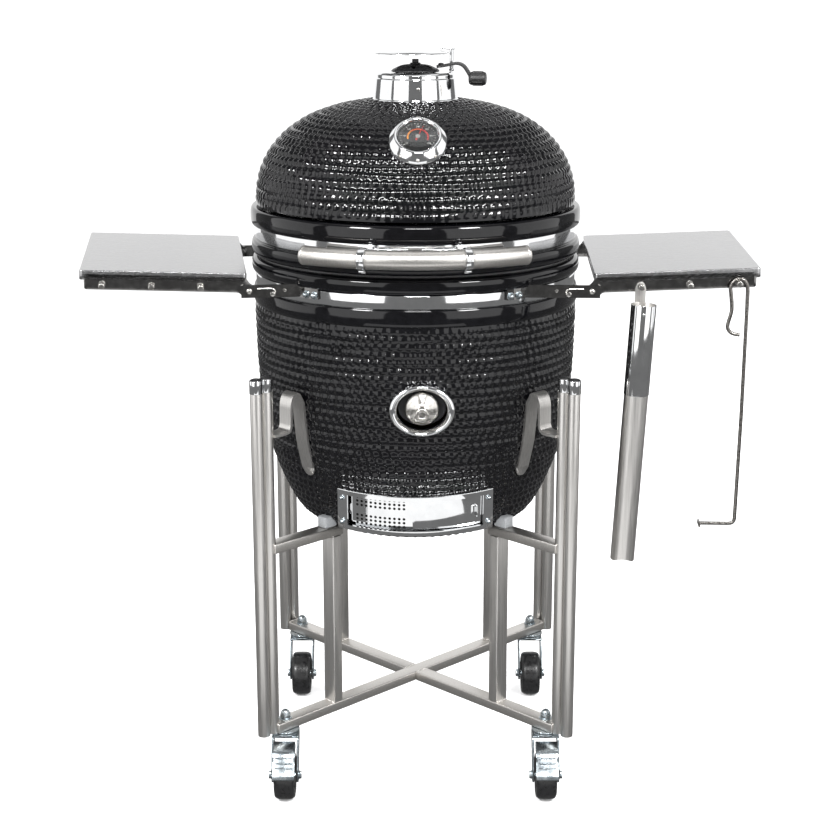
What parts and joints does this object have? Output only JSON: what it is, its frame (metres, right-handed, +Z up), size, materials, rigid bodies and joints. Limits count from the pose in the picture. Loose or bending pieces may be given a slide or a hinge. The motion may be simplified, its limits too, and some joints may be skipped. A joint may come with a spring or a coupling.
{
  "type": "charcoal grill",
  "caption": "Ceramic kamado charcoal grill: pebbled egg-shaped body on a steel caster cart, with chimney vent, thermometer, draft door, chip port, folding side shelves and hanging tools.",
  "frame": {"origin": "on the floor at the middle of the overall box", "axes": "+Z up, the front (handle, thermometer, port and draft door) faces -Y, +X to the right seen from the front"},
  "size_m": [1.0562, 0.5948, 1.1358],
  "materials": {
    "glazed_ceramic": "gloss",
    "chrome": "mirror polished",
    "stainless": "brushed",
    "zinc": "zinc plated",
    "black_steel": "satin",
    "fireclay": "matte",
    "felt": "felt",
    "tread": "satin",
    "plastic": "satin",
    "iron": "rough",
    "dial": "satin",
    "needle_red": "satin"
  },
  "bodies": {
    "base_and_cart": {"base_shell": "glazed_ceramic", "base_gasket": "felt", "base_band": "chrome", "hinge_base_leaf": "black_steel", "hinge_pin": "stainless", "port_ring": "chrome", "draft_frame": "chrome", "firebox": "fireclay", "fire_ring": "fireclay", "charcoal_grate": "iron", "cooking_grate": "stainless", "lower_cross": "stainless", "leg_front_left": "stainless", "leg_front_right": "stainless", "leg_rear_left": "stainless", "leg_rear_right": "stainless", "cradle_front_left": "stainless", "cradle_front_right": "stainless", "cradle_rear_left": "stainless", "cradle_rear_right": "stainless", "strap_front_left": "stainless", "strap_front_right": "stainless", "strap_rear_left": "stainless", "strap_rear_right": "stainless", "shelf_bracket_left_front": "stainless", "shelf_bracket_left_rear": "stainless", "shelf_bracket_right_front": "stainless", "shelf_bracket_right_rear": "stainless"},
    "lid": {"lid_shell": "glazed_ceramic", "lid_gasket": "felt", "lid_band": "chrome", "chimney_body": "chrome", "thermometer_case": "chrome", "thermometer_dial": "dial", "handle_tube": "stainless", "handle_bracket_left": "chrome", "handle_bracket_right": "chrome", "hinge_lid_leaf": "black_steel"},
    "vent": {"vent_dome": "black_steel", "vent_lever": "plastic"},
    "rain_lid": {"rain_lid": "chrome"},
    "needle": {"thermometer_needle": "needle_red"},
    "left_shelf": {"shelf_left": "stainless"},
    "right_shelf": {"shelf_right": "stainless"},
    "scoop": {"wood_chip_scoop": "stainless"},
    "rake": {"ash_rake": "black_steel"},
    "port_plug": {"port_plug": "stainless"},
    "draft_screen": {"draft_screen": "stainless"},
    "draft_door": {"draft_door": "chrome"},
    "caster_front_left": {"caster_fork_front_left": "zinc"},
    "wheel_front_left": {"caster_wheel_front_left": "tread"},
    "brake_front_left": {"brake_pedal_front_left": "zinc"},
    "caster_front_right": {"caster_fork_front_right": "zinc"},
    "wheel_front_right": {"caster_wheel_front_right": "tread"},
    "brake_front_right": {"brake_pedal_front_right": "zinc"},
    "caster_rear_left": {"caster_fork_rear_left": "zinc"},
    "wheel_rear_left": {"caster_wheel_rear_left": "tread"},
    "caster_rear_right": {"caster_fork_rear_right": "zinc"},
    "wheel_rear_right": {"caster_wheel_rear_right": "tread"}
  },
  "joints": [
    {"name": "lid_hinge", "type": "hinge", "parent": "base_and_cart", "child": "lid", "pos_m": [0.00711, 0.2884, 0.825], "axis": [-1, 0, 0], "range_deg": [0, 70]},
    {"name": "vent_turn", "type": "hinge", "parent": "lid", "child": "vent", "pos_m": [0.00711, 0.0024, 1.1], "axis": [0, 0, -1], "range_deg": [0, 45]},
    {"name": "rain_lid_swing", "type": "hinge", "parent": "lid", "child": "rain_lid", "pos_m": [0.06305, 0.0195, 1.115], "axis": [0, 0, 1], "range_deg": [0, 150]},
    {"name": "needle_sweep", "type": "hinge", "parent": "lid", "child": "needle", "pos_m": [0.01111, -0.19472, 1.01067], "axis": [0, -0.6833, 0.7302], "range_deg": [-113, 157]},
    {"name": "left_shelf_fold", "type": "hinge", "parent": "base_and_cart", "child": "left_shelf", "pos_m": [-0.26089, -0.0066, 0.795], "axis": [0.1305, -0.9914, 0], "range_deg": [0, 90]},
    {"name": "right_shelf_fold", "type": "hinge", "parent": "base_and_cart", "child": "right_shelf", "pos_m": [0.27511, -0.0066, 0.795], "axis": [0.0436, 0.999, 0], "range_deg": [0, 65]},
    {"name": "scoop_swing", "type": "hinge", "parent": "right_shelf", "child": "scoop", "pos_m": [0.33797, -0.19452, 0.8041], "axis": [0.0436, 0.999, 0], "range_deg": [-65, 0]},
    {"name": "rake_swing", "type": "hinge", "parent": "right_shelf", "child": "rake", "pos_m": [0.47983, -0.20072, 0.8103], "axis": [0.0436, 0.999, 0], "range_deg": [-65, 0]},
    {"name": "plug_pull", "type": "slide", "parent": "base_and_cart", "child": "port_plug", "axis": [0, -1, 0], "range_m": [0, 0.12]},
    {"name": "draft_screen_slide", "type": "hinge", "parent": "base_and_cart", "child": "draft_screen", "pos_m": [0.00711, 0.0024, 0.49584], "axis": [0, -0.1564, 0.9877], "range_deg": [0, 26]},
    {"name": "draft_door_slide", "type": "hinge", "parent": "base_and_cart", "child": "draft_door", "pos_m": [0.00711, 0.0024, 0.49584], "axis": [0, 0.1564, -0.9877], "range_deg": [0, 26]},
    {"name": "caster_swivel_front_left", "type": "hinge", "parent": "base_and_cart", "child": "caster_front_left", "pos_m": [-0.19587, -0.20058, 0.1], "axis": [0, 0, 1], "continuous": true},
    {"name": "wheel_spin_front_left", "type": "hinge", "parent": "caster_front_left", "child": "wheel_front_left", "pos_m": [-0.19587, -0.22658, 0.0375], "axis": [1, 0, 0], "continuous": true},
    {"name": "brake_lift_front_left", "type": "hinge", "parent": "caster_front_left", "child": "brake_front_left", "pos_m": [-0.19587, -0.22458, 0.09], "axis": [-1, 0, 0], "range_deg": [0, 14]},
    {"name": "caster_swivel_front_right", "type": "hinge", "parent": "base_and_cart", "child": "caster_front_right", "pos_m": [0.21009, -0.20058, 0.1], "axis": [0, 0, 1], "continuous": true},
    {"name": "wheel_spin_front_right", "type": "hinge", "parent": "caster_front_right", "child": "wheel_front_right", "pos_m": [0.21009, -0.22658, 0.0375], "axis": [1, 0, 0], "continuous": true},
    {"name": "brake_lift_front_right", "type": "hinge", "parent": "caster_front_right", "child": "brake_front_right", "pos_m": [0.21009, -0.22458, 0.09], "axis": [-1, 0, 0], "range_deg": [0, 14]},
    {"name": "caster_swivel_rear_left", "type": "hinge", "parent": "base_and_cart", "child": "caster_rear_left", "pos_m": [-0.19587, 0.20538, 0.1], "axis": [0, 0, 1], "continuous": true},
    {"name": "wheel_spin_rear_left", "type": "hinge", "parent": "caster_rear_left", "child": "wheel_rear_left", "pos_m": [-0.19587, 0.17938, 0.0375], "axis": [1, 0, 0], "continuous": true},
    {"name": "caster_swivel_rear_right", "type": "hinge", "parent": "base_and_cart", "child": "caster_rear_right", "pos_m": [0.21009, 0.20538, 0.1], "axis": [0, 0, 1], "continuous": true},
    {"name": "wheel_spin_rear_right", "type": "hinge", "parent": "caster_rear_right", "child": "wheel_rear_right", "pos_m": [0.21009, 0.17938, 0.0375], "axis": [1, 0, 0], "continuous": true}
  ],
  "couplings": [
    {"joint": "scoop_swing", "follows": "right_shelf_fold", "ratio": -1},
    {"joint": "rake_swing", "follows": "right_shelf_fold", "ratio": -1}
  ]
}
